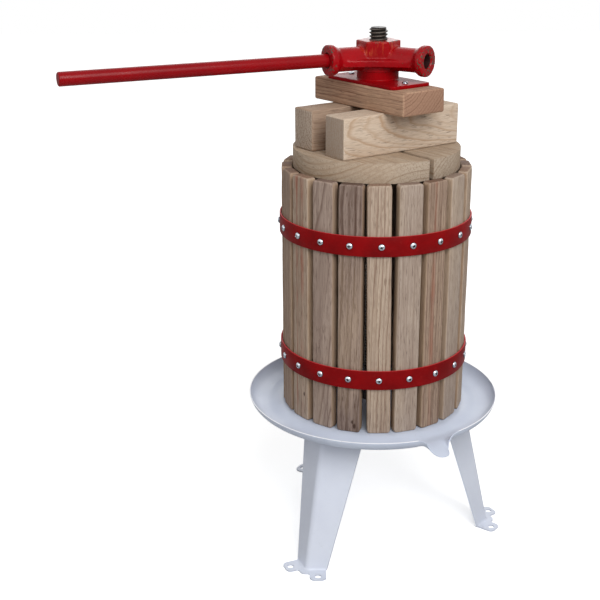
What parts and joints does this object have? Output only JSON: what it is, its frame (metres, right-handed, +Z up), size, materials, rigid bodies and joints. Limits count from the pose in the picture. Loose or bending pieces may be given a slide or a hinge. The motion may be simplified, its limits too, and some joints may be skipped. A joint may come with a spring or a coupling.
{
  "type": "screw basket press",
  "caption": "Upright fruit press: slatted wooden basket on a footed tray, pressed from above by wooden blocks under a threaded head turned with a long bar.",
  "frame": {"origin": "on the threaded post's axis at floor level", "axes": "+Z up along the post, +Y towards the back, +X to the right seen from the front"},
  "size_m": [0.6532, 0.4086, 0.8166],
  "materials": {
    "slat_oak": "matt, sanded, weathered grey-brown",
    "block_oak": "matt, sanded, pale",
    "white_enamel": "smooth semi-gloss pale blue-white",
    "hoop_red": "satin dark red",
    "head_red": "gloss red on a casting",
    "zinc": "bright zinc plate",
    "thread_steel": "dark oiled steel"
  },
  "bodies": {
    "base": {"tray": "white_enamel", "leg_front": "white_enamel", "leg_right": "white_enamel", "leg_back": "white_enamel", "leg_bolts": "zinc", "leg_nuts": "zinc", "spindle": "thread_steel", "spindle_top_nut": "thread_steel", "spindle_plate": "white_enamel", "spindle_bottom_nut": "thread_steel"},
    "basket": {"slat_01": "slat_oak", "slat_02": "slat_oak", "slat_03": "slat_oak", "slat_04": "slat_oak", "slat_05": "slat_oak", "slat_06": "slat_oak", "slat_07": "slat_oak", "slat_08": "slat_oak", "slat_09": "slat_oak", "slat_10": "slat_oak", "slat_11": "slat_oak", "slat_12": "slat_oak", "slat_13": "slat_oak", "slat_14": "slat_oak", "slat_15": "slat_oak", "slat_16": "slat_oak", "slat_17": "slat_oak", "slat_18": "slat_oak", "slat_19": "slat_oak", "slat_20": "slat_oak", "upper_hoop": "hoop_red", "lower_hoop": "hoop_red", "upper_hoop_screws": "zinc", "lower_hoop_screws": "zinc", "hoop_rivets": "hoop_red"},
    "stack": {"disc_left": "block_oak", "disc_right": "block_oak", "lower_block_front": "block_oak", "lower_block_back": "block_oak", "top_block": "block_oak", "pressure_plate": "head_red", "plate_screws": "zinc", "thrust_washer": "zinc"},
    "head": {"press_head": "head_red", "retaining_ring": "thread_steel"},
    "bar": {"handle_bar": "head_red"}
  },
  "joints": [
    {"name": "basket_lift", "type": "slide", "parent": "base", "child": "basket", "axis": [0, 0, 1], "range_m": [0, 0.012]},
    {"name": "press_travel", "type": "slide", "parent": "base", "child": "stack", "axis": [0, 0, 1], "range_m": [-0.1351, 0.0151]},
    {"name": "head_turn", "type": "hinge", "parent": "stack", "child": "head", "pos_m": [0, 0, 0.7731], "axis": [0, 0, 1], "range_deg": [-9720, 1080]},
    {"name": "bar_pull", "type": "slide", "parent": "head", "child": "bar", "axis": [-0.9107, -0.4131, 0], "range_m": [0, 0.06]}
  ],
  "couplings": [
    {"joint": "press_travel", "follows": "head_turn", "m_per_rad": 0.00079577}
  ]
}
